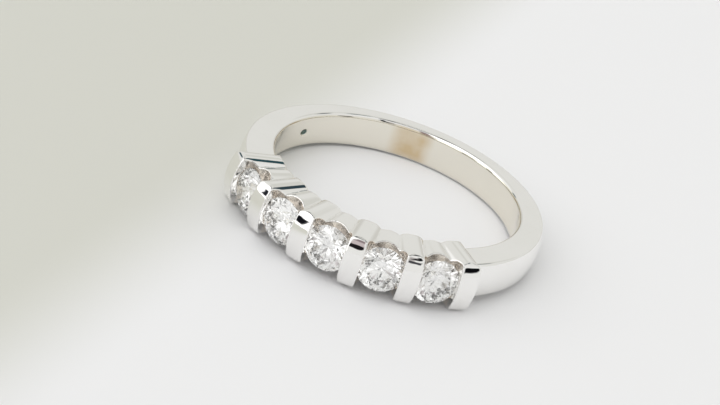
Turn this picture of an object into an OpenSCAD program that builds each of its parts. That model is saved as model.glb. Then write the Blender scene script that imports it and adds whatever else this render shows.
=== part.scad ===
/* [Finger hole and shank] */
// Diameter of the finger hole
bore_d = 16.5; // [16:0.1:17]
// Width of the shank between its flat sides
shank_w = 2.4; // [2.2:0.1:2.6]
// Thickness of the shank at its back, opposite the stones
shank_back_t = 1.35; // [1.2:0.05:1.5]
// Thickness that the shank has grown to where it runs into the head
shank_front_t = 2.45; // [2.3:0.05:2.6]
// Radius that domes the outside of the shank
shank_dome_r = 3.7; // [3:0.1:6]
// Rounding of the shank's inner edges
inner_edge_r = 0.32; // [0.25:0.01:0.4]

/* [Head] */
// Thickness of the head from the finger hole to the crest of the bars
head_t = 3.25; // [3.2:0.05:3.35]
// Length of a bar, across the band
bar_l = 3.44; // [3.4:0.02:3.6]
// Radius that domes the front of the bars
bar_dome_r = 3.4; // [3.2:0.1:4]
// Rounding of the ends of the bars
bar_end_r = 0.55; // [0.45:0.01:0.6]
// Radius of the arched side of a bar
bar_arch_r = 1; // [0.95:0.01:1.05]
// Half the width of the two end bars on their outer flank
end_bar_half_w = 0.74; // [0.65:0.01:0.8]
// Radius of the channel that frees the sides of each stone
channel_r = 1.25; // [1.2:0.01:1.3]

/* [Stones] */
// Diameter of each stone
stone_d = 3; // [2.95:0.01:3.02]
// Metal left between the girdles of two neighbours
stone_gap = 0.48; // [0.46:0.01:0.52]
// Depth of the girdle below the crest of the bars
girdle_depth = 0.77; // [0.74:0.01:0.8]
// Size of the table, as a share of the diameter
table_share = 0.57; // [0.53:0.01:0.6]
// Angle of the crown's main facets
crown_angle = 34.5; // [32:0.5:36]
// Angle of the pavilion's main facets
pavilion_angle = 41; // [40:0.1:42]
// Thickness of the girdle
girdle_t = 0.08; // [0.06:0.01:0.1]
// Gap between a stone and its seat
seat_gap = 0.03; // [0.03:0.005:0.04]
// Diameter of the hole behind each stone
back_hole_d = 1.1; // [0.8:0.1:1.3]

/* [Hidden] */
$fn = 128;

STONES = 5;
BARS = STONES + 1;

bore_r = bore_d / 2;
shank_half_w = shank_w / 2;
shank_axis_y = -(shank_front_t - shank_back_t) / 2;
shank_outer_r = bore_r + (shank_front_t + shank_back_t) / 2;
shank_edge_r = 0.15;

crest_n = bore_r + head_t;
bar_half_l = bar_l / 2;
arch_z = bar_half_l - bar_arch_r;
// The end rounding stands a little above the arch, so that the two cross in a clean edge
bar_end_rise = 0.04;
// The shank's inner rounding stands a little above its sides, for the same reason
inner_edge_rise = 0.02;
girdle_n = crest_n - girdle_depth;
// The channels' axes lie this much further out than the stones' girdles
channel_lift = 0.34;
channel_n = girdle_n + channel_lift;
pitch = 2 * asin((stone_d + stone_gap) / (2 * girdle_n));
lobe_edge_r = 0.25;
lobe_edge_z = 1.45;

stone_r = stone_d / 2;
table_r = table_share * stone_r;
girdle_half_t = girdle_t / 2;
crown_h = girdle_half_t + (stone_r - table_r) * tan(crown_angle);
culet_h = girdle_half_t + stone_r * tan(pavilion_angle);
// A sixteenth turn, from one girdle corner to the next
facet_step = 22.5;
// The stars end halfway from the table to the girdle
star_r = (table_r * cos(facet_step) + stone_r) / 2;
star_h = crown_h - (star_r * cos(facet_step) - table_r) * tan(crown_angle);
// The lower halves run all but this share of the way from the girdle to the culet
lower_share = 0.23;
lower_r = lower_share * stone_r;
lower_h = girdle_half_t + (stone_r - lower_r * cos(facet_step)) * tan(pavilion_angle);
// How far each stone is turned about its own axis, in its order along the row
STONE_TURNS = [9, 31, 17, 4, 38];

// The ring reaches furthest forward where the middle channel meets its two bars,
// and this puts the finger hole's axis behind the origin by half the difference
front_reach = sqrt(pow(crest_n, 2) - pow(channel_r, 2));
back_reach = bore_r + shank_back_t;
bore_y = (front_reach - back_reach) / 2;
// Solids that end at the finger hole are drawn from this radius, and the hole is cut through them
inside_r = bore_r - 2;
// Past every surface of the ring
far = 16;

// The angle of bar or stone number i along the row, where the middle of the row is 0
function bar_angle(i) = (i - (BARS + 1) / 2) * pitch;
function stone_angle(i) = (i - (STONES + 1) / 2) * pitch;

// A D-shaped section: flat sides, and a domed front whose corners are arcs tangent to the dome
module d_section(crest, half_w, dome_r, corner_r, back) {
    corner_z = half_w - corner_r;
    dome_x = crest - dome_r;
    corner_x = dome_x + sqrt(pow(dome_r - corner_r, 2) - pow(corner_z, 2));
    meet_z = corner_z * dome_r / (dome_r - corner_r);
    translate([back, -half_w])
        square([corner_x - back, 2 * half_w]);
    for (side = [-1, 1])
        translate([corner_x, side * corner_z])
            circle(r = corner_r);
    intersection() {
        translate([dome_x, 0])
            circle(r = dome_r);
        translate([back, -meet_z])
            square([crest, 2 * meet_z]);
    }
}

// Space of the finger, flared round by edge_r where the metal's side lies at face_z
module finger_space(face_z, edge_r) {
    rotate_extrude()
        difference() {
            translate([0, -far / 2])
                square([bore_r + edge_r, far]);
            translate([bore_r, -face_z])
                square([far, 2 * face_z]);
            for (side = [-1, 1])
                translate([bore_r + edge_r, side * face_z])
                    circle(r = edge_r);
        }
}

// Plain shank, thinnest at the back
module shank() {
    difference() {
        translate([0, shank_axis_y, 0])
            rotate_extrude()
                d_section(shank_outer_r, shank_half_w, shank_dome_r, shank_edge_r, inside_r);
        finger_space(shank_half_w - inner_edge_r + inner_edge_rise, inner_edge_r);
    }
}

// Everything drawn lies along the radius at the given angle, its y across the band
module along_radius(angle, from = 0) {
    rotate([0, 0, angle])
        translate([0, -from, 0])
            rotate([90, 0, 0])
                children();
}

// Outline of one bar seen along its radius: straight flanks between two arches
module bar_outline() {
    square([2 * bar_arch_r, 2 * arch_z], center = true);
    for (side = [-1, 1])
        translate([0, side * arch_z])
            circle(r = bar_arch_r);
}

// Bars and the cups between them, cut to the domed front
module head_block() {
    intersection() {
        rotate_extrude()
            d_section(crest_n, bar_half_l + bar_end_rise, bar_dome_r, bar_end_r, inside_r);
        union() {
            for (i = [1:BARS])
                along_radius(bar_angle(i), inside_r)
                    linear_extrude(height = far - inside_r)
                        bar_outline();
            for (i = [1:STONES])
                along_radius(stone_angle(i), inside_r)
                    cylinder(r = stone_r, h = far - inside_r);
        }
    }
}

// Channel across the band at one stone, open to the front
module channel() {
    translate([0, -channel_n, -bar_l])
        cylinder(r = channel_r, h = 2 * bar_l);
    translate([-channel_r, -channel_n - head_t, -bar_l])
        cube([2 * channel_r, head_t, 2 * bar_l]);
}

// Seat of one stone with the hole behind it, along its own axis; above the stars the channel is open
module seat() {
    seat_r = stone_r + seat_gap;
    girdle_z = girdle_half_t + seat_gap;
    hole_r = back_hole_d / 2;
    rotate_extrude()
        polygon([
            [0, -girdle_n],
            [hole_r, -girdle_n],
            [hole_r, -girdle_z - (seat_r - hole_r) * tan(pavilion_angle)],
            [seat_r, -girdle_z],
            [seat_r, girdle_z],
            [star_r + seat_gap, star_h + seat_gap],
            [0, star_h + seat_gap]
        ]);
}

// Takes the arch off the outer flank of an end bar, above the shank
module end_flank(side) {
    along_radius(bar_angle(side < 0 ? 1 : BARS), shank_outer_r)
        translate([side > 0 ? end_bar_half_w : -end_bar_half_w - bar_l, -bar_l, 0])
            cube([bar_l, 2 * bar_l, head_t]);
}

// The whole casting about the finger hole's axis
module band_metal() {
    difference() {
        union() {
            shank();
            difference() {
                head_block();
                finger_space(lobe_edge_z, lobe_edge_r);
                for (side = [-1, 1])
                    end_flank(side);
            }
        }
        for (i = [1:STONES]) {
            rotate([0, 0, stone_angle(i)])
                channel();
            along_radius(stone_angle(i), girdle_n)
                seat();
        }
    }
}

// Point of a round brilliant at radius r, in steps of a sixteenth turn
function facet_point(r, step, z) = [r * cos(facet_step * step), r * sin(facet_step * step), z];

// Round brilliant: a table, 8 stars, 8 bezels, 16 upper halves, 16 lower halves and 8 mains
module brilliant() {
    points = concat(
        [for (k = [0:7]) facet_point(table_r, 2 * k, crown_h)],
        [for (k = [0:7]) facet_point(star_r, 2 * k + 1, star_h)],
        [for (k = [0:15]) facet_point(stone_r, k, girdle_half_t)],
        [for (k = [0:15]) facet_point(stone_r, k, -girdle_half_t)],
        [for (k = [0:7]) facet_point(lower_r, 2 * k + 1, -lower_h)],
        [[0, 0, -culet_h]]
    );
    star = 8;
    top = 16;
    bottom = 32;
    lower = 48;
    culet = 56;
    faces = concat(
        [[for (k = [0:7]) 7 - k]],
        [for (k = [0:7]) [k, (k + 1) % 8, star + k]],
        [for (k = [0:7]) [k, star + k, top + 2 * k, star + (k + 7) % 8]],
        [for (k = [0:7]) [star + k, top + 2 * k + 1, top + 2 * k]],
        [for (k = [0:7]) [star + k, top + (2 * k + 2) % 16, top + 2 * k + 1]],
        [for (k = [0:15]) [top + k, top + (k + 1) % 16, bottom + (k + 1) % 16, bottom + k]],
        [for (k = [0:7]) [lower + k, bottom + 2 * k, bottom + 2 * k + 1]],
        [for (k = [0:7]) [lower + k, bottom + 2 * k + 1, bottom + (2 * k + 2) % 16]],
        [for (k = [0:7]) [culet, lower + (k + 7) % 8, bottom + 2 * k, lower + k]]
    );
    polyhedron(points, faces);
}

// Lays the ring on its side with the bars' lower ends on the ground
module lay_down() {
    translate([0, bore_y, bar_half_l])
        children();
}

module band() {
    color("gainsboro")
        lay_down()
            band_metal();
}

module stone(i) {
    color("aliceblue")
        lay_down()
            along_radius(stone_angle(i), girdle_n)
                rotate([0, 0, STONE_TURNS[i - 1]])
                    brilliant();
}

band();
stone(1);  // stone_1
stone(2);  // stone_2
stone(3);  // stone_3
stone(4);  // stone_4
stone(5);  // stone_5
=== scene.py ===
"""Half eternity ring of polished white gold with five round brilliants, lying in a light tent.

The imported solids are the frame. The stones keep their solids and get a diamond finish. The band is
modelled again here, from the same sizes, as one soft-edged casting that stands for its solid.
"""

import logging
import math
from collections.abc import Callable, Iterator
from contextlib import contextmanager
from dataclasses import dataclass, field
from enum import Enum

import bmesh
import bpy
from bpy.types import Material, Node, NodeSocket, NodeTree, Object, World
from mathutils import Matrix, Vector


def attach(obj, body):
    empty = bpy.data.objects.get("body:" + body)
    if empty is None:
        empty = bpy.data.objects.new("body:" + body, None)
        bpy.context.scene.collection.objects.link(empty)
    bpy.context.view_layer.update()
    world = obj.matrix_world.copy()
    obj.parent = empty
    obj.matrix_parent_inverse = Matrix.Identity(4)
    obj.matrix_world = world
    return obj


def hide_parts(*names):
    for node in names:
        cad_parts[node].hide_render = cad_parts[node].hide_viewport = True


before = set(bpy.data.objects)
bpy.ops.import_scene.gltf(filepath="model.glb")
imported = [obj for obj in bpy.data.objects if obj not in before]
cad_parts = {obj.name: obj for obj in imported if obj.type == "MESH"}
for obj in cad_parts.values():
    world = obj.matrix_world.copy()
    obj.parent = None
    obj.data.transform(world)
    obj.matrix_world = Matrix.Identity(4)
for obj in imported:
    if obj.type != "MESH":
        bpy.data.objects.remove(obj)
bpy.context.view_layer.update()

# One millimetre in the scene's metres; the band is modelled in millimetres and scaled down at its end
MM = 0.001
# Points nearer to each other than this many millimetres are one point
TINY = 1e-4
BODY = "root"
# The stones' nodes, from left to right
STONE_NODES = sorted(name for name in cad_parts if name.startswith("stone_"))

Colour = tuple[float, float, float, float]
Triple = tuple[float, float, float]

log = logging.getLogger("ring")


class Solid(Enum):
    """How a boolean modifier joins a tool to its target."""

    ADD = "UNION"
    CUT = "DIFFERENCE"
    COMMON = "INTERSECT"


def linear(hex_colour: str) -> Colour:
    """Turns an sRGB colour into linear light, by sRGB's own curve.

    Args:
        hex_colour: The colour as six hex digits after a hash mark.

    Returns:
        Red, green, blue and an alpha of one.
    """
    parts = [int(hex_colour[i:i + 2], 16) / 255 for i in (1, 3, 5)]
    light = [p / 12.92 if p <= 0.04045 else ((p + 0.055) / 1.055) ** 2.4 for p in parts]
    return light[0], light[1], light[2], 1.0


def per_metre(size_mm: float) -> float:
    """Gives the texture scale at which one cell of a pattern measures size_mm."""
    return 1 / (size_mm * MM)


def add_node(
    tree: NodeTree, kind: str, settings: dict[str, object] | None = None, **sockets: object,
) -> Node:
    """Adds one node with its settings, constants and links.

    Args:
        tree: The node tree that takes the node.
        kind: The node's type name.
        settings: Attribute names and their values.
        **sockets: Input values or output sockets to link, by the input's name with underscores
            for spaces, or by its number after an "i".

    Returns:
        The new node.
    """
    node = tree.nodes.new(kind)
    for name, value in (settings or {}).items():
        setattr(node, name, value)
    for name, value in sockets.items():
        key = int(name[1:]) if name[1:].isdigit() else name.replace("_", " ")
        if isinstance(value, NodeSocket):
            tree.links.new(value, node.inputs[key])
        else:
            node.inputs[key].default_value = value
    return node


def deselect_all() -> None:
    """Leaves nothing selected."""
    bpy.ops.object.select_all(action="DESELECT")


def pick(obj: Object) -> Object:
    """Makes an object the only selected one and the active one.

    Args:
        obj: The object.

    Returns:
        The same object.
    """
    deselect_all()
    obj.select_set(True)
    bpy.context.view_layer.objects.active = obj
    return obj


def apply_place() -> None:
    """Applies the selected object's place, turn and size to its mesh."""
    bpy.ops.object.transform_apply(location=True, rotation=True, scale=True)


def blank_material(name: str) -> tuple[Material, NodeTree]:
    """Makes a material without nodes.

    Args:
        name: The material's name.

    Returns:
        The material and its empty node tree.
    """
    material = bpy.data.materials.new(name)
    material.use_nodes = True
    material.node_tree.nodes.clear()
    return material, material.node_tree


@contextmanager
def editing(obj: Object) -> Iterator[None]:
    """Opens an object in edit mode, with all of it selected, for the lines that follow.

    Args:
        obj: The object, which is back in object mode afterwards.

    Yields:
        Nothing.
    """
    pick(obj)
    bpy.ops.object.mode_set(mode="EDIT")
    bpy.ops.mesh.select_all(action="SELECT")
    yield
    bpy.ops.object.mode_set(mode="OBJECT")


def select_points(obj: Object, wanted: Callable[[Vector], bool]) -> None:
    """Selects the points of an object in edit mode by their place.

    Args:
        obj: The object in edit mode.
        wanted: Says of a point's place whether it is selected.
    """
    bpy.ops.mesh.select_all(action="DESELECT")
    bpy.ops.mesh.select_mode(type="VERT")
    mesh = bmesh.from_edit_mesh(obj.data)
    for point in mesh.verts:
        point.select = wanted(point.co)
    mesh.select_flush_mode()
    bmesh.update_edit_mesh(obj.data)


def apply_modifier(obj: Object, kind: str, settings: dict[str, object]) -> None:
    """Adds a modifier with its settings and applies it.

    Args:
        obj: The object to change.
        kind: The modifier's type name.
        settings: Attribute names and their values.
    """
    pick(obj)
    modifier = obj.modifiers.new(kind.lower(), kind)
    for name, value in settings.items():
        setattr(modifier, name, value)
    bpy.ops.object.modifier_apply(modifier=modifier.name)


def combine(target: Object, tool: Object, how: Solid) -> None:
    """Joins a closed tool to a closed target with a boolean, and removes the tool.

    Args:
        target: The solid that stays.
        tool: The solid that is used up.
        how: Whether the tool is added, cut away or kept in common.
    """
    apply_modifier(target, "BOOLEAN", {"object": tool, "operation": how.value, "solver": "MANIFOLD"})
    bpy.data.objects.remove(tool)


def copy_turned(obj: Object, degrees: float) -> Object:
    """Copies a solid with its own mesh and turns the copy about the finger hole's axis.

    Args:
        obj: The solid to copy, which stays as it is.
        degrees: The turn, counter-clockwise from above.

    Returns:
        The copy, with its turn applied to its mesh.
    """
    pick(obj)
    bpy.ops.object.duplicate(linked=False)
    twin = bpy.context.active_object
    twin.rotation_euler.z = math.radians(degrees)
    apply_place()
    return twin


class Pen:
    """Draws an outline in the XZ plane, point by point, and spins it into a closed solid."""

    ARC_STEP = math.radians(3)

    def __init__(self, x: float, z: float) -> None:
        """Puts the pen down.

        Args:
            x: Where the outline starts, sideways.
            z: Where the outline starts, upwards.
        """
        deselect_all()
        bpy.ops.mesh.primitive_plane_add(size=1)
        self.obj = bpy.context.active_object
        bpy.ops.object.mode_set(mode="EDIT")
        bpy.ops.mesh.merge(type="CENTER")
        bpy.ops.transform.translate(value=(x, 0, z))
        self.x, self.z = x, z

    def line_to(self, x: float, z: float) -> None:
        """Draws a straight stretch to a point."""
        bpy.ops.mesh.extrude_region_move(TRANSFORM_OT_translate={"value": (x - self.x, 0, z - self.z)})
        self.x, self.z = x, z

    def arc(self, centre_x: float, centre_z: float, turn: float) -> None:
        """Draws an arc about a centre.

        Args:
            centre_x: The centre's place, sideways.
            centre_z: The centre's place, upwards.
            turn: The angle in radians, counter-clockwise as seen with X to the right and Z up.
        """
        steps = max(2, math.ceil(abs(turn) / self.ARC_STEP))
        bpy.ops.mesh.spin(steps=steps, angle=turn, center=(centre_x, 0, centre_z), axis=(0, 1, 0))
        dx, dz = self.x - centre_x, self.z - centre_z
        self.x = centre_x + dx * math.cos(turn) - dz * math.sin(turn)
        self.z = centre_z + dx * math.sin(turn) + dz * math.cos(turn)

    def spin(self, steps: int) -> Object:
        """Spins the outline about the Z axis and closes its seam and poles.

        Args:
            steps: How many steps the full turn takes.

        Returns:
            The solid, with its faces outwards.
        """
        bpy.ops.mesh.select_all(action="SELECT")
        bpy.ops.mesh.remove_doubles(threshold=TINY)
        bpy.ops.object.mode_set(mode="OBJECT")
        apply_modifier(self.obj, "SCREW", {
            "angle": math.tau, "steps": steps, "render_steps": steps, "use_merge_vertices": True,
            "merge_threshold": TINY,
        })
        with editing(self.obj):
            bpy.ops.mesh.remove_doubles(threshold=TINY)
            bpy.ops.mesh.normals_make_consistent(inside=False)
        return self.obj


class BandMap:
    """Finds the parts of the band by their place, so that its finish can differ from part to part."""

    # Over how many millimetres one part's finish runs into the next
    BLEND = 0.04
    CUT_BLEND = BLEND / 2
    FLANK_BLEND = 3 * BLEND
    # The radians over which the cuts' finish ends at either end of the row
    ROW_BLEND = math.radians(0.1)
    # A soft patch is full over the first share of its reach and fades over the second
    PATCH_FULL = 0.35
    PATCH_FADE = 0.65

    def __init__(self, tree: NodeTree, place: NodeSocket, band: "Band") -> None:
        """Works out where each point lies on the band, in millimetres and radians.

        Args:
            tree: The material's node tree.
            place: The point's Object coordinates.
            band: The band that is dressed.
        """
        self.tree = tree
        self.band = band
        # Seen from the finger hole's middle: X to the right, Y forwards, Z up
        self.place = add_node(
            tree, "ShaderNodeMapping", Vector=place, Location=(0.0, band.bore_y, -band.bar_half_l),
            Scale=(1 / MM, -1 / MM, 1 / MM),
        ).outputs["Vector"]
        parts = add_node(tree, "ShaderNodeSeparateXYZ", Vector=self.place)
        self.height = parts.outputs["Z"]
        self.turn = add_node(
            tree, "ShaderNodeMath", {"operation": "ARCTAN2"},
            i0=parts.outputs["X"], i1=parts.outputs["Y"],
        ).outputs[0]
        self.radius = self.distance(self.place, (0.0, 0.0, 0.0), (1.0, 1.0, 0.0))

    def distance(self, place: NodeSocket, middle: Triple, along: Triple) -> NodeSocket:
        """Measures how far a point lies from a line or a point.

        Args:
            place: The point.
            middle: A point of the line, already scaled by along.
            along: One for each axis that counts, and nought for the line's own axis.

        Returns:
            The distance.
        """
        offset = add_node(
            self.tree, "ShaderNodeMapping", Vector=place, Scale=along,
            Location=tuple(-m for m in middle),
        )
        return add_node(
            self.tree, "ShaderNodeVectorMath", {"operation": "LENGTH"}, i0=offset.outputs["Vector"],
        ).outputs["Value"]

    def below(self, value: NodeSocket, limit: float, blend: float = BLEND) -> NodeSocket:
        """Gives one where a value is below its limit and nought past the limit and the blend."""
        return add_node(
            self.tree, "ShaderNodeMapRange", {"interpolation_type": "SMOOTHSTEP"}, i0=value,
            i1=limit, i2=limit + blend, i3=1.0, i4=0.0,
        ).outputs[0]

    def common(self, first: NodeSocket, second: NodeSocket) -> NodeSocket:
        """Finds what two parts have in common."""
        both = add_node(self.tree, "ShaderNodeMath", {"operation": "MULTIPLY"}, i0=first, i1=second)
        return both.outputs[0]

    def finger_wall(self) -> NodeSocket:
        """Finds the wall of the finger hole."""
        return self.below(self.radius, self.band.bore_r + self.BLEND)

    def recess(self, depth: float) -> NodeSocket:
        """Finds the bottom of the punch mark.

        Args:
            depth: How far behind the finger hole's wall the bottom begins, in millimetres.

        Returns:
            One in the bottom of the mark and nought elsewhere.
        """
        band = self.band
        turn = math.radians(band.punch_turn)
        middle = (band.bore_r * math.sin(turn), band.bore_r * math.cos(turn), band.punch_z)
        near = self.below(self.distance(self.place, middle, (1.0, 1.0, 1.0)), band.punch_half_w)
        shallow = self.below(self.radius, band.bore_r + depth / 2, depth / 2)
        deep = add_node(self.tree, "ShaderNodeMath", {"operation": "SUBTRACT"}, i0=1.0, i1=shallow)
        return self.common(near, deep.outputs[0])

    def setters_cuts(self) -> NodeSocket:
        """Finds the channels and the seats that the setter cut for the stones.

        Returns:
            One in the cuts, up to the stones' girdles, and nought elsewhere.
        """
        band, tree = self.band, self.tree
        half_pitch = math.radians(band.pitch / 2)
        beside = add_node(
            tree, "ShaderNodeMath", {"operation": "WRAP"}, i0=self.turn, i1=half_pitch, i2=-half_pitch,
        )
        turned = add_node(
            tree, "ShaderNodeMath", {"operation": "SUBTRACT"}, i0=self.turn, i1=beside.outputs[0],
        )
        # The same point, as it lies to its own stone, whose axis is Y
        own = add_node(
            tree, "ShaderNodeVectorRotate", {"rotation_type": "Z_AXIS"}, Vector=self.place,
            Angle=turned.outputs[0],
        ).outputs["Vector"]
        from_channel = self.distance(own, (0.0, band.girdle_n + band.channel_lift, 0.0), (1.0, 1.0, 0.0))
        channel = self.below(from_channel, band.channel_r, self.CUT_BLEND)
        rim, land, slope = band.seat_sizes()
        depth = add_node(tree, "ShaderNodeSeparateXYZ", Vector=own).outputs["Y"]
        cone = add_node(
            tree, "ShaderNodeMath", {"operation": "MULTIPLY_ADD"}, i0=depth, i1=1 / slope,
            i2=rim - (band.girdle_n - land) / slope,
        )
        wall = add_node(tree, "ShaderNodeMath", {"operation": "MINIMUM"}, i0=cone.outputs[0], i1=rim)
        from_axis = self.distance(own, (0.0, 0.0, 0.0), (1.0, 0.0, 1.0))
        past = add_node(
            tree, "ShaderNodeMath", {"operation": "SUBTRACT"}, i0=from_axis, i1=wall.outputs[0],
        )
        seat = self.below(past.outputs[0], 0, self.CUT_BLEND)
        cuts = add_node(tree, "ShaderNodeMath", {"operation": "MAXIMUM"}, i0=channel, i1=seat)
        # The burnisher has brightened the bars' flanks above the stones' girdles
        low = self.below(depth, band.girdle_n, self.FLANK_BLEND)
        aside = add_node(tree, "ShaderNodeMath", {"operation": "ABSOLUTE"}, i0=self.turn)
        in_row = self.below(aside.outputs[0], band.stones * half_pitch, self.ROW_BLEND)
        return self.common(self.common(cuts.outputs[0], low), in_row)

    def patch(self, turn: float, half_turn: float, half_height: float) -> NodeSocket:
        """Finds a soft patch on the finger hole's wall.

        Args:
            turn: The patch's middle, in degrees from the front.
            half_turn: How far the patch reaches to either side, in degrees.
            half_height: How far it reaches up and down, in millimetres.

        Returns:
            One in the patch's middle, falling to nought at its edge.
        """
        shares = [self.finger_wall()]
        for value, middle, reach in ((self.turn, math.radians(turn), math.radians(half_turn)),
                                     (self.height, 0.0, half_height)):
            away = add_node(self.tree, "ShaderNodeMath", {"operation": "SUBTRACT"}, i0=value, i1=middle)
            size = add_node(self.tree, "ShaderNodeMath", {"operation": "ABSOLUTE"}, i0=away.outputs[0])
            shares.append(self.below(size.outputs[0], self.PATCH_FULL * reach, self.PATCH_FADE * reach))
        return self.common(self.common(shares[0], shares[1]), shares[2])


@dataclass(frozen=True)
class WhiteGold:
    """Rhodium plated white gold, polished on a mop: a bright, nearly neutral mirror with a faint haze.

    The plating is thinner in the finger hole, so the alloy's warmth shows there. A tan patch of painted
    reflection lies at the back of the finger hole. The setter's cuts are unplated and satin, so they
    look like a dull, warm grey round each stone.
    """

    colour: str = "#FBFAF9"
    haze_colour: str = "#F5F4F1"
    roughness: float = 0.02
    haze: float = 0.04
    # Clouds in the polish, a few millimetres across: bright below the first share, hazy past the second
    cloud_mm: float = 2.5
    cloud_detail: float = 3.0
    cloud_from: float = 0.35
    cloud_to: float = 0.75
    # Hairlines are drawn 0.06 mm apart, coarser than real ones, so that they show at all
    hairline_mm: float = 0.06
    hairline_detail: float = 1.0
    hairline_turn: float = 20.0
    hairline_stretch: float = 0.04
    hairline_strength: float = 0.5
    hairline_depth_mm: float = 0.0006
    thin_colour: str = "#EDE9DE"
    # A painted reflection: a tan patch on the finger hole's wall at the shank's back, a little to the
    # left
    painted_reflection_colour: str = "#D4BF9C"
    painted_reflection_turn: float = -165.2
    painted_reflection_half_turn: float = 12.0
    painted_reflection_half_height_mm: float = 1.6
    # Mottling in the painted reflection; between its spots this share of the tan shows
    reflection_mottle_mm: float = 1.3
    reflection_mottle_detail: float = 2.0
    reflection_mottle_from: float = 0.35
    reflection_mottle_to: float = 0.6
    reflection_mottle_least: float = 0.65
    # The bottom of the punch mark is painted a dark grey-green
    punch_floor_colour: str = "#5F6F6B"
    cut_colour: str = "#F9F3EC"
    cut_roughness: float = 0.14

    def make(self, band: "Band") -> Material:
        """Builds the material.

        Args:
            band: The band that wears it.

        Returns:
            The material, on Object coordinates.
        """
        material, tree = blank_material("white_gold_polished")
        place = add_node(tree, "ShaderNodeTexCoord").outputs["Object"]
        parts = BandMap(tree, place, band)
        cuts = parts.setters_cuts()
        clouds = add_node(
            tree, "ShaderNodeTexNoise", Vector=place, Scale=per_metre(self.cloud_mm),
            Detail=self.cloud_detail,
        )
        stretched = add_node(
            tree, "ShaderNodeMapping", Vector=place, Scale=(self.hairline_stretch, 1.0, 1.0),
            Rotation=(0.0, 0.0, math.radians(self.hairline_turn)),
        )
        hairlines = add_node(
            tree, "ShaderNodeTexNoise", Vector=stretched.outputs["Vector"],
            Scale=per_metre(self.hairline_mm), Detail=self.hairline_detail,
        )
        colour = add_node(
            tree, "ShaderNodeMix", {"data_type": "RGBA"}, i0=clouds.outputs["Fac"],
            i6=linear(self.colour), i7=linear(self.haze_colour),
        ).outputs[2]
        reflection_mottling = add_node(
            tree, "ShaderNodeTexNoise", Vector=place, Scale=per_metre(self.reflection_mottle_mm),
            Detail=self.reflection_mottle_detail,
        )
        reflection_share = add_node(
            tree, "ShaderNodeMapRange", i0=reflection_mottling.outputs["Fac"], i1=self.reflection_mottle_from,
            i2=self.reflection_mottle_to, i3=self.reflection_mottle_least, i4=1.0,
        )
        # Painted reflection: the mottled tan patch on the back of the finger hole
        reflection_patch = parts.patch(self.painted_reflection_turn, self.painted_reflection_half_turn, self.painted_reflection_half_height_mm)
        painted_reflection = parts.common(reflection_patch, reflection_share.outputs[0])
        # The punch mark's bottom, painted dark grey-green
        punch_floor = parts.recess(band.punch_depth / 2)
        for where, tint in ((parts.finger_wall(), self.thin_colour), (painted_reflection, self.painted_reflection_colour),
                            (punch_floor, self.punch_floor_colour), (cuts, self.cut_colour)):
            colour = add_node(
                tree, "ShaderNodeMix", {"data_type": "RGBA"}, i0=where, i6=colour, i7=linear(tint),
            ).outputs[2]
        rough = add_node(
            tree, "ShaderNodeMapRange", i0=clouds.outputs["Fac"], i1=self.cloud_from,
            i2=self.cloud_to, i3=self.roughness, i4=self.roughness + self.haze,
        )
        rough = add_node(tree, "ShaderNodeMix", i0=cuts, i2=rough.outputs[0], i3=self.cut_roughness)
        relief = add_node(
            tree, "ShaderNodeBump", Height=hairlines.outputs["Fac"],
            Strength=self.hairline_strength, Distance=self.hairline_depth_mm * MM,
        )
        metal = add_node(
            tree, "ShaderNodeBsdfPrincipled", Base_Color=colour, Metallic=1.0,
            Roughness=rough.outputs[0], Normal=relief.outputs["Normal"],
        )
        add_node(tree, "ShaderNodeOutputMaterial", Surface=metal.outputs[0])
        return material


@dataclass(frozen=True)
class Diamond:
    """Cut and polished diamond: colourless, with a high index that throws the light back at the eye."""

    colour: str = "#FCFCFB"
    index: float = 2.417
    # A film from handling takes the hardest edge off the sparkle
    roughness: float = 0.04

    def make(self) -> Material:
        """Builds the material.

        Returns:
            The material, a glass with diamond's index.
        """
        material, tree = blank_material("diamond_polished")
        gem = add_node(
            tree, "ShaderNodeBsdfPrincipled", Base_Color=linear(self.colour), Roughness=self.roughness,
            IOR=self.index, Transmission_Weight=1.0,
        )
        add_node(tree, "ShaderNodeOutputMaterial", Surface=gem.outputs[0])
        return material


@dataclass(frozen=True)
class MattePaper:
    """Uncoated white paper, pressed smooth: matte and even, with its left in soft shade."""

    colour: str = "#ECECED"
    shade_colour: str = "#D2D2CA"
    # The shade begins left of the ring and is full at the second distance
    shade_from_mm: float = -4.0
    shade_to_mm: float = -13.0
    fibre_mm: float = 0.4
    fibre_detail: float = 4.0
    fibre_strength: float = 0.2
    fibre_depth_mm: float = 0.01
    roughness: float = 0.9
    gloss: float = 0.2

    def make(self) -> Material:
        """Builds the material.

        Returns:
            The material, with a faint tooth.
        """
        material, tree = blank_material("paper_matte")
        place = add_node(tree, "ShaderNodeTexCoord").outputs["Object"]
        sideways = add_node(tree, "ShaderNodeSeparateXYZ", Vector=place).outputs["X"]
        shade = add_node(
            tree, "ShaderNodeMapRange", {"interpolation_type": "SMOOTHSTEP"}, i0=sideways,
            i1=self.shade_from_mm * MM, i2=self.shade_to_mm * MM,
        )
        colour = add_node(
            tree, "ShaderNodeMix", {"data_type": "RGBA"}, i0=shade.outputs[0],
            i6=linear(self.colour), i7=linear(self.shade_colour),
        )
        fibres = add_node(
            tree, "ShaderNodeTexNoise", Vector=place, Scale=per_metre(self.fibre_mm),
            Detail=self.fibre_detail,
        )
        tooth = add_node(
            tree, "ShaderNodeBump", Height=fibres.outputs["Fac"], Strength=self.fibre_strength,
            Distance=self.fibre_depth_mm * MM,
        )
        paper = add_node(
            tree, "ShaderNodeBsdfPrincipled", Base_Color=colour.outputs[2], Roughness=self.roughness,
            Specular_IOR_Level=self.gloss, Normal=tooth.outputs["Normal"],
        )
        add_node(tree, "ShaderNodeOutputMaterial", Surface=paper.outputs[0])
        return material


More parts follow.
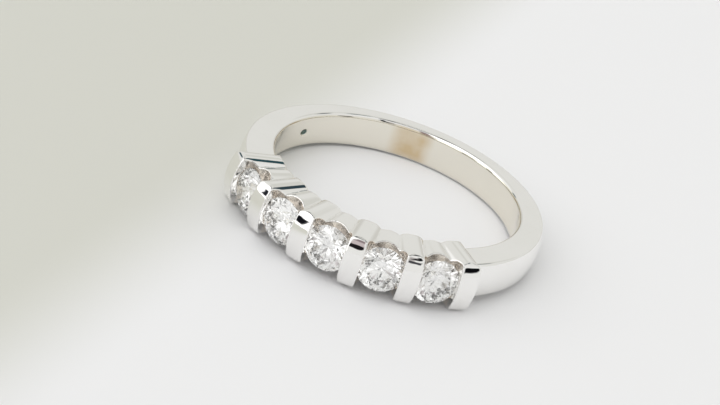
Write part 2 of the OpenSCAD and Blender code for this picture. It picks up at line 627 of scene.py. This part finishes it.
@dataclass
class Band:
    """The one-piece casting: shank, bars, cups and seats. Sizes are millimetres and degrees.

    A size that ends in _n is measured out from the finger hole's axis, and _z up from the band's middle;
    _r is a radius, _d a diameter, _t a thickness, _w a width, _l a length and _h a height.
    """

    # Finger hole and shank
    bore_r: float = 8.25
    shank_half_w: float = 1.2
    shank_back_t: float = 1.35
    shank_front_t: float = 2.45
    shank_dome_r: float = 3.7
    shank_edge_r: float = 0.15
    inner_edge_r: float = 0.32
    inner_edge_rise: float = 0.02
    # Bars and the lobes that they end in beside the finger hole
    crest_n: float = 11.5
    bar_half_l: float = 1.72
    bar_dome_r: float = 3.4
    bar_end_r: float = 0.55
    bar_end_rise: float = 0.04
    bar_arch_r: float = 1.0
    end_bar_half_w: float = 0.74
    lobe_edge_z: float = 1.45
    lobe_edge_r: float = 0.25
    # The channels, whose middle lies past the girdle by the lift, and the stones with their seats
    channel_r: float = 1.25
    channel_lift: float = 0.34
    stone_d: float = 3.0
    stone_gap: float = 0.48
    girdle_depth: float = 0.77
    seat_gap: float = 0.03
    girdle_half_t: float = 0.04
    pavilion_angle: float = 41.0
    # The seat clears the crown from the girdle up to this radius and height
    star_r: float = 1.145
    star_h: float = 0.342
    back_hole_r: float = 0.55
    # A plain oval punch mark on the finger hole's wall
    punch_turn: float = -108.3
    punch_z: float = -0.05
    punch_half_w: float = 0.34
    punch_half_h: float = 0.22
    punch_depth: float = 0.16
    stones: int = len(STONE_NODES)
    # How finely round solids and tools are divided
    spin_steps: int = 1024
    tool_sides: int = 256
    punch_sides: int = 48
    # How far solids reach into the finger hole before it is cut
    overlap: float = 2.0
    # How far tools stand out past the metal
    spare: float = 1.0
    # Polishing softens every edge by about a tenth of a millimetre
    grain_mm: float = 0.045
    polish_strength: float = 0.5
    polish_passes: int = 8
    triangles: int = 190000
    finish: WhiteGold = field(default_factory=WhiteGold)

    def __post_init__(self) -> None:
        """Works out the sizes that follow from the others."""
        self.inside_r = self.bore_r - self.overlap
        self.outside_r = self.crest_n + self.spare
        # A tool of this length cuts through the whole width
        self.through = 4 * self.bar_half_l
        self.girdle_n = self.crest_n - self.girdle_depth
        self.stone_r = self.stone_d / 2
        self.pitch = 2 * math.degrees(math.asin((self.stone_d + self.stone_gap) / (2 * self.girdle_n)))
        self.shank_outer_r = self.bore_r + (self.shank_front_t + self.shank_back_t) / 2
        self.shank_axis_y = -(self.shank_front_t - self.shank_back_t) / 2
        front_reach = math.sqrt(self.crest_n ** 2 - self.channel_r ** 2)
        self.bore_y = (front_reach - self.bore_r - self.shank_back_t) / 2
        self.bar_angles = [(i - self.stones / 2) * self.pitch for i in range(self.stones + 1)]
        self.stone_angles = [(i - (self.stones - 1) / 2) * self.pitch for i in range(self.stones)]

    def domed_ring(self, crest_n: float, half_w: float, dome_r: float, corner_r: float) -> Object:
        """Spins a section with flat sides and a domed front whose corners run into the dome.

        Args:
            crest_n: How far the dome's crest lies from the axis.
            half_w: Half the width between the flat sides.
            dome_r: The dome's radius.
            corner_r: The corners' radius.

        Returns:
            The solid ring, which starts inside the finger hole.
        """
        corner_z = half_w - corner_r
        dome_x = crest_n - dome_r
        corner_x = dome_x + math.sqrt((dome_r - corner_r) ** 2 - corner_z ** 2)
        dome_angle = math.asin(corner_z / (dome_r - corner_r))
        pen = Pen(self.inside_r, -half_w)
        pen.line_to(corner_x, -half_w)
        pen.arc(corner_x, -corner_z, math.pi / 2 - dome_angle)
        pen.arc(dome_x, 0, 2 * dome_angle)
        pen.arc(corner_x, corner_z, math.pi / 2 - dome_angle)
        pen.line_to(self.inside_r, half_w)
        pen.line_to(self.inside_r, -half_w)
        return pen.spin(self.spin_steps)

    def finger_space(self, face_z: float, edge_r: float) -> Object:
        """Spins the finger's space, flared so that it rounds the metal's inner edges.

        Args:
            face_z: Where the rounding starts above and below the middle.
            edge_r: The rounding's radius.

        Returns:
            The solid to cut away.
        """
        rim = self.bore_r + edge_r
        pen = Pen(0, -self.through)
        pen.line_to(rim, -self.through)
        pen.line_to(rim, -face_z - edge_r)
        pen.arc(rim, -face_z, -math.pi / 2)
        pen.line_to(self.bore_r, face_z)
        pen.arc(rim, face_z, -math.pi / 2)
        pen.line_to(rim, self.through)
        pen.line_to(0, self.through)
        return pen.spin(self.spin_steps)

    def rod(self, radius: float, middle_y: float, length: float, turn_x: float = 0.0) -> Object:
        """Adds a round rod that stands upright, or lies along the radius after a quarter turn about X.

        Args:
            radius: The rod's radius.
            middle_y: Where the rod's middle lies along Y.
            length: The rod's length.
            turn_x: The turn about X, in radians.

        Returns:
            The rod, with its place in its mesh.
        """
        deselect_all()
        bpy.ops.mesh.primitive_cylinder_add(
            vertices=self.tool_sides, radius=radius, depth=length, location=(0, middle_y, 0),
            rotation=(turn_x, 0, 0),
        )
        apply_place()
        return bpy.context.active_object

    def radial_rod(self, radius: float) -> Object:
        """Adds a rod that lies along the radius, from inside the finger hole to past the bars."""
        middle_y = -(self.inside_r + self.outside_r) / 2
        return self.rod(radius, middle_y, self.outside_r - self.inside_r, turn_x=math.pi / 2)

    def bar(self) -> Object:
        """Stretches a radial rod up and down into a bar with two arched sides.

        Returns:
            The bar, at the front.
        """
        stretch = self.bar_half_l - self.bar_arch_r
        rod = self.radial_rod(self.bar_arch_r)
        with editing(rod):
            select_points(rod, lambda place: place.z > TINY)
            bpy.ops.transform.translate(value=(0, 0, stretch))
            select_points(rod, lambda place: place.z < -TINY)
            bpy.ops.transform.translate(value=(0, 0, -stretch))
        return rod

    def channel(self) -> Object:
        """Stretches a rod across the band into the channel that frees one stone's sides.

        Returns:
            The solid to cut away, at the front.
        """
        middle_y = -(self.girdle_n + self.channel_lift)
        rod = self.rod(self.channel_r, middle_y, self.through)
        with editing(rod):
            select_points(rod, lambda place: place.y < middle_y - TINY)
            bpy.ops.transform.translate(value=(0, -self.crest_n / 2, 0))
        return rod

    def seat_sizes(self) -> tuple[float, float, float]:
        """Gives a seat's radius, half the height of its wall, and how steeply its cone falls."""
        land = self.girdle_half_t + self.seat_gap
        return self.stone_r + self.seat_gap, land, math.tan(math.radians(self.pavilion_angle))

    def seat(self) -> Object:
        """Spins the seat of one stone with the hole behind it, and lays it along the radius.

        Returns:
            The solid to cut away, at the front.
        """
        rim, land, slope = self.seat_sizes()
        depth = land + (rim - self.back_hole_r) * slope
        pen = Pen(0, -self.girdle_n)
        pen.line_to(self.back_hole_r, -self.girdle_n)
        pen.line_to(self.back_hole_r, -depth)
        pen.line_to(rim, -land)
        pen.line_to(rim, land)
        pen.line_to(self.star_r + self.seat_gap, self.star_h + self.seat_gap)
        pen.line_to(0, self.star_h + self.seat_gap)
        seat = pen.spin(self.tool_sides)
        seat.rotation_euler.x = math.pi / 2
        seat.location.y = -self.girdle_n
        apply_place()
        return seat

    def shank(self) -> Object:
        """Builds the plain shank, thinnest at the back.

        Returns:
            The shank, a whole ring.
        """
        shank = self.domed_ring(
            self.shank_outer_r, self.shank_half_w, self.shank_dome_r, self.shank_edge_r,
        )
        pick(shank)
        shank.location.y = self.shank_axis_y
        apply_place()
        face_z = self.shank_half_w - self.inner_edge_r + self.inner_edge_rise
        combine(shank, self.finger_space(face_z, self.inner_edge_r), Solid.CUT)
        return shank

    def head(self) -> Object:
        """Builds the bars and the cups between them, cut to the domed front.

        Returns:
            The head, before its channels and seats are cut.
        """
        half_l = self.bar_half_l + self.bar_end_rise
        head = self.domed_ring(self.crest_n, half_l, self.bar_dome_r, self.bar_end_r)
        # The cup behind each stone is a plain round rod
        bar, cup = self.bar(), self.radial_rod(self.stone_r)
        blocks = copy_turned(bar, self.bar_angles[0])
        for angle in self.bar_angles[1:]:
            combine(blocks, copy_turned(bar, angle), Solid.ADD)
        for angle in self.stone_angles:
            combine(blocks, copy_turned(cup, angle), Solid.ADD)
        combine(head, blocks, Solid.COMMON)
        combine(head, self.finger_space(self.lobe_edge_z, self.lobe_edge_r), Solid.CUT)
        flanks = self.flank(-1), self.flank(1)
        for flank, angle in zip(flanks, (self.bar_angles[0], self.bar_angles[-1])):
            combine(head, copy_turned(flank, angle), Solid.CUT)
        for tool in (bar, cup, *flanks):
            bpy.data.objects.remove(tool)
        return head

    def flank(self, side: int) -> Object:
        """Adds the block that trims an end bar's outer flank.

        Args:
            side: Minus one for the left end bar and one for the right.

        Returns:
            The block, beside a bar that stands at the front.
        """
        deselect_all()
        middle_x = side * (self.end_bar_half_w + self.spare)
        middle_y = -(self.outside_r + self.shank_outer_r) / 2
        bpy.ops.mesh.primitive_cube_add(
            size=1, scale=(2 * self.spare, self.outside_r - self.shank_outer_r, self.through),
            location=(middle_x, middle_y, 0),
        )
        apply_place()
        return bpy.context.active_object

    def punch(self) -> Object:
        """Adds the egg that presses the oval mark into the finger hole's wall.

        Returns:
            The solid to cut away, at the front.
        """
        deselect_all()
        bpy.ops.mesh.primitive_uv_sphere_add(
            segments=self.punch_sides, ring_count=self.punch_sides // 2, radius=1,
            location=(0, -self.bore_r, self.punch_z),
            scale=(self.punch_half_w, self.punch_depth, self.punch_half_h),
        )
        apply_place()
        return bpy.context.active_object

    def polish(self, metal: Object) -> None:
        """Softens every edge as polishing does, and keeps the smooth shading on a lighter mesh.

        Args:
            metal: The sharp-edged casting, in millimetres.
        """
        apply_modifier(metal, "REMESH", {"mode": "VOXEL", "voxel_size": self.grain_mm})
        apply_modifier(metal, "SMOOTH", {
            "factor": self.polish_strength, "iterations": self.polish_passes,
        })
        pick(metal)
        bpy.ops.object.shade_smooth()
        bpy.ops.object.duplicate(linked=False)
        fine = bpy.context.active_object
        count = sum(len(face.vertices) - 2 for face in metal.data.polygons)
        apply_modifier(metal, "DECIMATE", {"ratio": min(1, self.triangles / count)})
        apply_modifier(metal, "DATA_TRANSFER", {
            "object": fine, "use_loop_data": True, "data_types_loops": {"CUSTOM_NORMAL"},
            "loop_mapping": "POLYINTERP_NEAREST",
        })
        bpy.data.objects.remove(fine)

    def cast(self) -> Object:
        """Joins the shank and the head, cuts the channels, seats and mark, and polishes the casting.

        Returns:
            The casting, in millimetres about the finger hole's middle.
        """
        metal = self.shank()
        combine(metal, self.head(), Solid.ADD)
        channel, seat = self.channel(), self.seat()
        for angle in self.stone_angles:
            for tool in (channel, seat):
                combine(metal, copy_turned(tool, angle), Solid.CUT)
        punch = self.punch()
        combine(metal, copy_turned(punch, self.punch_turn), Solid.CUT)
        for tool in (channel, seat, punch):
            bpy.data.objects.remove(tool)
        self.polish(metal)
        return metal

    def build(self) -> Object:
        """Casts the band, puts it in its place and dresses it.

        Returns:
            The finished piece.
        """
        metal = self.cast()
        metal.name = metal.data.name = "band_casting"
        pick(metal)
        metal.location = (0, self.bore_y * MM, self.bar_half_l * MM)
        metal.scale = (MM, MM, MM)
        apply_place()
        metal.data.materials.clear()
        metal.data.materials.append(self.finish.make(self))
        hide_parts("band")
        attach(metal, BODY)
        return metal


@dataclass
class Stones:
    """The row of round brilliants, which keep their cut solids."""

    finish: Diamond = field(default_factory=Diamond)

    def build(self) -> list[Object]:
        """Dresses each stone.

        Returns:
            The stones, from left to right.
        """
        material = self.finish.make()
        stones = [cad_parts[name] for name in STONE_NODES]
        for stone in stones:
            stone.data.materials.clear()
            stone.data.materials.append(material)
        return stones


@dataclass(frozen=True)
class Card:
    """A panel of the light tent, placed by the direction in which the ring sees it, in degrees."""

    name: str
    azimuth: float
    elevation: float
    half_width: float
    half_height: float
    colour: str
    strength: float = 1.0
    softness: float = 1.0
    # How far the panel's middle line moves sideways for each degree that it rises
    lean: float = 0.0

    def light(self) -> Colour:
        """Gives the light that the panel sends, in linear colour."""
        red, green, blue, alpha = linear(self.colour)
        return red * self.strength, green * self.strength, blue * self.strength, alpha


@dataclass
class LightTent:
    """A white tent round the ring, with a bright key at the front left and a dimmer roof and back.

    Its dark cards give the polished metal black and teal bands, and the gaps round its roof draw the
    thin dark outlines of the highlights.
    """

    front_colour: str = "#EBEBE9"
    back_colour: str = "#E2E2DE"
    # Where the back's colour begins and where it is full, as the sine of the angle behind the ring
    back_from: float = -0.1
    back_to: float = 0.3
    # The panels hang a little uneven
    ripple: float = 0.035
    ripple_scale: float = 7.0
    ripple_detail: float = 1.0
    # Azimuth and elevation, half the width and height, colour, strength, softness and lean
    cards: tuple[Card, ...] = (
        Card("overhead panel", 0, 90, 180, 20, "#E0E0DC", 1.0, 5),
        Card("key softbox", -46, 33, 40, 38, "#FFFFFF", 1.5, 5),
        Card("rim light", -97, 25, 9, 17, "#F4F4F2", 1.05, 4),
        Card("low shade at the back", -165, 6, 55, 8, "#D0CFC9", 1.0, 6),
        Card("high shade at the back", -179, 44, 30, 8, "#D4D4CE", 1.0, 5),
        Card("gap round the overhead panel", 0, 77, 180, 3.5, "#2C3033", 1.0, 1.0),
        Card("gap left of the overhead panel", -122, 66, 16, 8, "#2C3033", 1.0, 1.0),
        Card("flag for the first bar", -107, 17, 4, 6, "#3F555C", 1.0, 1.5, -0.2),
        Card("flag for the second bar", -63.5, 6.5, 4, 5, "#26282E", 1.0, 1.0, 0.1),
        Card("flag for the third bar", -38.5, 9, 8, 5.5, "#17171C", 1.0, 1.0, 0.3),
        Card("pink card for the fourth bar", 4, 27, 5.5, 11, "#C6BABB", 1.0, 1.0, 0.05),
        Card("brown card above the pink one", 4, 47, 5, 13, "#8F8183", 1.0, 1.5, 0.05),
        Card("foot of the pink card", 2, 13.5, 6, 4.2, "#1C191C", 1.0, 0.8, 0.3),
        Card("grey card for the fifth bar", 40, 34, 5, 15, "#B4B0AE", 1.0, 1.0, 0.3),
        Card("leaning flag beside the grey card", 49.5, 42, 3.4, 17, "#1A1A1D", 1.0, 0.8, 0.5),
        Card("foot of the grey card", 41, 16.5, 6, 2.8, "#434347", 1.0, 0.8, 0.5),
        Card("flag for the end bar", 80, 15.5, 6.5, 7, "#0E0E10", 1.0, 1.2, 0.5),
        Card("teal flag for the end bar's left flank", 143, 65, 24, 4.5, "#2E4A50", 1.0, 1.5),
        Card("teal flag for the second bar's flank", 146, 49.5, 14, 3.5, "#34434A", 1.0, 1.2),
    )

    def build(self) -> World:
        """Builds the tent as the world's light.

        Returns:
            The world.
        """
        world = bpy.data.worlds.new("light_tent")
        bpy.context.scene.world = world
        world.use_nodes = True
        tree = world.node_tree
        tree.nodes.clear()
        toward = add_node(tree, "ShaderNodeTexCoord").outputs["Generated"]
        ripples = add_node(
            tree, "ShaderNodeTexNoise", {"normalize": False}, Vector=toward, Scale=self.ripple_scale,
            Detail=self.ripple_detail,
        )
        uneven = add_node(
            tree, "ShaderNodeVectorMath", {"operation": "MULTIPLY_ADD"}, i0=ripples.outputs["Color"],
            i1=(self.ripple, self.ripple, self.ripple), i2=toward,
        )
        unit = add_node(
            tree, "ShaderNodeVectorMath", {"operation": "NORMALIZE"}, i0=uneven.outputs["Vector"],
        )
        parts = add_node(tree, "ShaderNodeSeparateXYZ", Vector=unit.outputs["Vector"])
        front = add_node(
            tree, "ShaderNodeMath", {"operation": "MULTIPLY"}, i0=parts.outputs["Y"], i1=-1.0,
        )
        azimuth = add_node(
            tree, "ShaderNodeMath", {"operation": "ARCTAN2"}, i0=parts.outputs["X"], i1=front.outputs[0],
        ).outputs[0]
        elevation = add_node(
            tree, "ShaderNodeMath", {"operation": "ARCSINE"}, i0=parts.outputs["Z"],
        ).outputs[0]
        behind = add_node(
            tree, "ShaderNodeMapRange", {"interpolation_type": "SMOOTHSTEP"}, i0=parts.outputs["Y"],
            i1=self.back_from, i2=self.back_to,
        )
        glow = add_node(
            tree, "ShaderNodeMix", {"data_type": "RGBA"}, i0=behind.outputs[0],
            i6=linear(self.front_colour), i7=linear(self.back_colour),
        ).outputs[2]
        for card in self.cards:
            glow = add_node(
                tree, "ShaderNodeMix", {"data_type": "RGBA", "label": card.name},
                i0=self.mask(tree, azimuth, elevation, card), i6=glow, i7=card.light(),
            ).outputs[2]
        background = add_node(tree, "ShaderNodeBackground", Color=glow)
        add_node(tree, "ShaderNodeOutputWorld", Surface=background.outputs[0])
        return world

    @staticmethod
    def mask(tree: NodeTree, azimuth: NodeSocket, elevation: NodeSocket, card: Card) -> NodeSocket:
        """Builds the mask of one card.

        Args:
            tree: The world's node tree.
            azimuth: The direction's azimuth, in radians.
            elevation: The direction's elevation, in radians.
            card: The card.

        Returns:
            The socket that is one on the card and nought off it.
        """
        lean = add_node(
            tree, "ShaderNodeMath", {"operation": "MULTIPLY_ADD"}, i0=elevation, i1=-card.lean,
            i2=math.radians(card.lean * card.elevation - card.azimuth),
        )
        sideways = add_node(tree, "ShaderNodeMath", {"operation": "ADD"}, i0=azimuth, i1=lean.outputs[0])
        wrapped = add_node(
            tree, "ShaderNodeMath", {"operation": "WRAP"},
            i0=sideways.outputs[0], i1=math.pi, i2=-math.pi,
        )
        upwards = add_node(
            tree, "ShaderNodeMath", {"operation": "SUBTRACT"},
            i0=elevation, i1=math.radians(card.elevation),
        )
        shares = []
        for offset, half in ((wrapped, card.half_width), (upwards, card.half_height)):
            away = add_node(tree, "ShaderNodeMath", {"operation": "ABSOLUTE"}, i0=offset.outputs[0])
            inside = add_node(
                tree, "ShaderNodeMapRange", {"interpolation_type": "SMOOTHSTEP"}, i0=away.outputs[0],
                i1=math.radians(half - card.softness), i2=math.radians(half + card.softness),
                i3=1.0, i4=0.0,
            )
            shares.append(inside.outputs[0])
        both = add_node(tree, "ShaderNodeMath", {"operation": "MULTIPLY"}, i0=shares[0], i1=shares[1])
        return both.outputs[0]


@dataclass
class OverheadLamp:
    """A broad soft lamp that lights the paper and is mirrored neither by the metal nor in the stones."""

    strength: float = 0.62
    # The width of the lamp as the ring sees it, in degrees
    breadth: float = 50.0

    def build(self) -> Object:
        """Hangs the lamp straight above the ring.

        Returns:
            The lamp.
        """
        deselect_all()
        bpy.ops.object.light_add(type="SUN")
        lamp = bpy.context.active_object
        lamp.name = "overhead_lamp"
        lamp.data.energy = self.strength
        lamp.data.angle = math.radians(self.breadth)
        lamp.visible_glossy = False
        lamp.visible_transmission = False
        return lamp


@dataclass
class Floor:
    """A sheet of paper under the ring, inclined so that the ring rests on its bars and its back."""

    radius_mm: float = 600.0
    sides: int = 128
    # The ring tips about the inner ends of its end bars until the back of its narrower shank touches
    pivot_y_mm: float = -4.98
    back_y_mm: float = 10.37
    back_z_mm: float = 0.52
    paper: MattePaper = field(default_factory=MattePaper)

    def build(self) -> Object:
        """Lays the paper.

        Returns:
            The floor.
        """
        deselect_all()
        slope = math.atan2(self.back_z_mm, self.back_y_mm - self.pivot_y_mm)
        bpy.ops.mesh.primitive_circle_add(
            vertices=self.sides, radius=self.radius_mm * MM, fill_type="NGON", rotation=(slope, 0, 0),
            location=(0, 0, -self.pivot_y_mm * MM * math.tan(slope)),
        )
        apply_place()
        floor = bpy.context.active_object
        floor.name = "paper_floor"
        floor.data.materials.append(self.paper.make())
        return floor


@dataclass
class View:
    """The camera, placed by its angles and distance and by where it sees the finger hole."""

    azimuth: float = 15.304
    elevation: float = 25.846
    roll: float = 18.897
    distance_mm: float = 145.13
    # How far the finger hole's middle lies right of and above the picture's middle
    right_mm: float = 2.170
    up_mm: float = 0.586
    lens_mm: float = 112.4
    sensor_mm: float = 36.0
    near_mm: float = 1.0
    far_mm: float = 10000.0

    def build(self, middle: Vector) -> Object:
        """Sets the camera up.

        Args:
            middle: The middle of the finger hole, in metres.

        Returns:
            The camera.
        """
        around, above, turn = (math.radians(a) for a in (self.azimuth, self.elevation, self.roll))
        back = Vector((
            math.sin(around) * math.cos(above), -math.cos(around) * math.cos(above), math.sin(above),
        ))
        level = Vector((math.cos(around), math.sin(around), 0))
        upright = back.cross(level)
        right = math.cos(turn) * level + math.sin(turn) * upright
        up = back.cross(right)
        place = middle + MM * (self.distance_mm * back - self.right_mm * right - self.up_mm * up)
        deselect_all()
        bpy.ops.object.camera_add()
        camera = bpy.context.active_object
        camera.name = "camera"
        axes = Matrix((right, up, back)).transposed().to_4x4()
        camera.matrix_world = Matrix.Translation(place) @ axes
        camera.data.sensor_width = self.sensor_mm
        camera.data.lens = self.lens_mm
        camera.data.clip_start = self.near_mm * MM
        camera.data.clip_end = self.far_mm * MM
        bpy.context.scene.camera = camera
        return camera


@dataclass(frozen=True)
class LightPaths:
    """How often light bounces: often in the stones, where it is thrown about before it leaves."""

    in_stones: int = 24
    on_metal: int = 12
    on_paper: int = 4

    def apply(self) -> None:
        """Sets the bounces, and keeps the picture's tones as they are."""
        scene = bpy.context.scene
        scene.view_settings.view_transform = "Standard"
        scene.cycles.max_bounces = self.in_stones
        scene.cycles.transmission_bounces = self.in_stones
        scene.cycles.glossy_bounces = self.on_metal
        scene.cycles.diffuse_bounces = self.on_paper


def main() -> None:
    """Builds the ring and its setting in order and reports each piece."""
    logging.basicConfig(level=logging.INFO, format="%(name)s: %(message)s")
    band = Band()
    middle = Vector((0, band.bore_y * MM, band.bar_half_l * MM))
    for item in (View().build(middle), LightTent().build(), OverheadLamp().build(), Floor().build()):
        log.info("setting: %s", item.name)
    for piece in (band.build(), *Stones().build()):
        log.info("piece: %s, %d faces", piece.name, len(piece.data.polygons))
    LightPaths().apply()


if __name__ == "__main__":
    main()
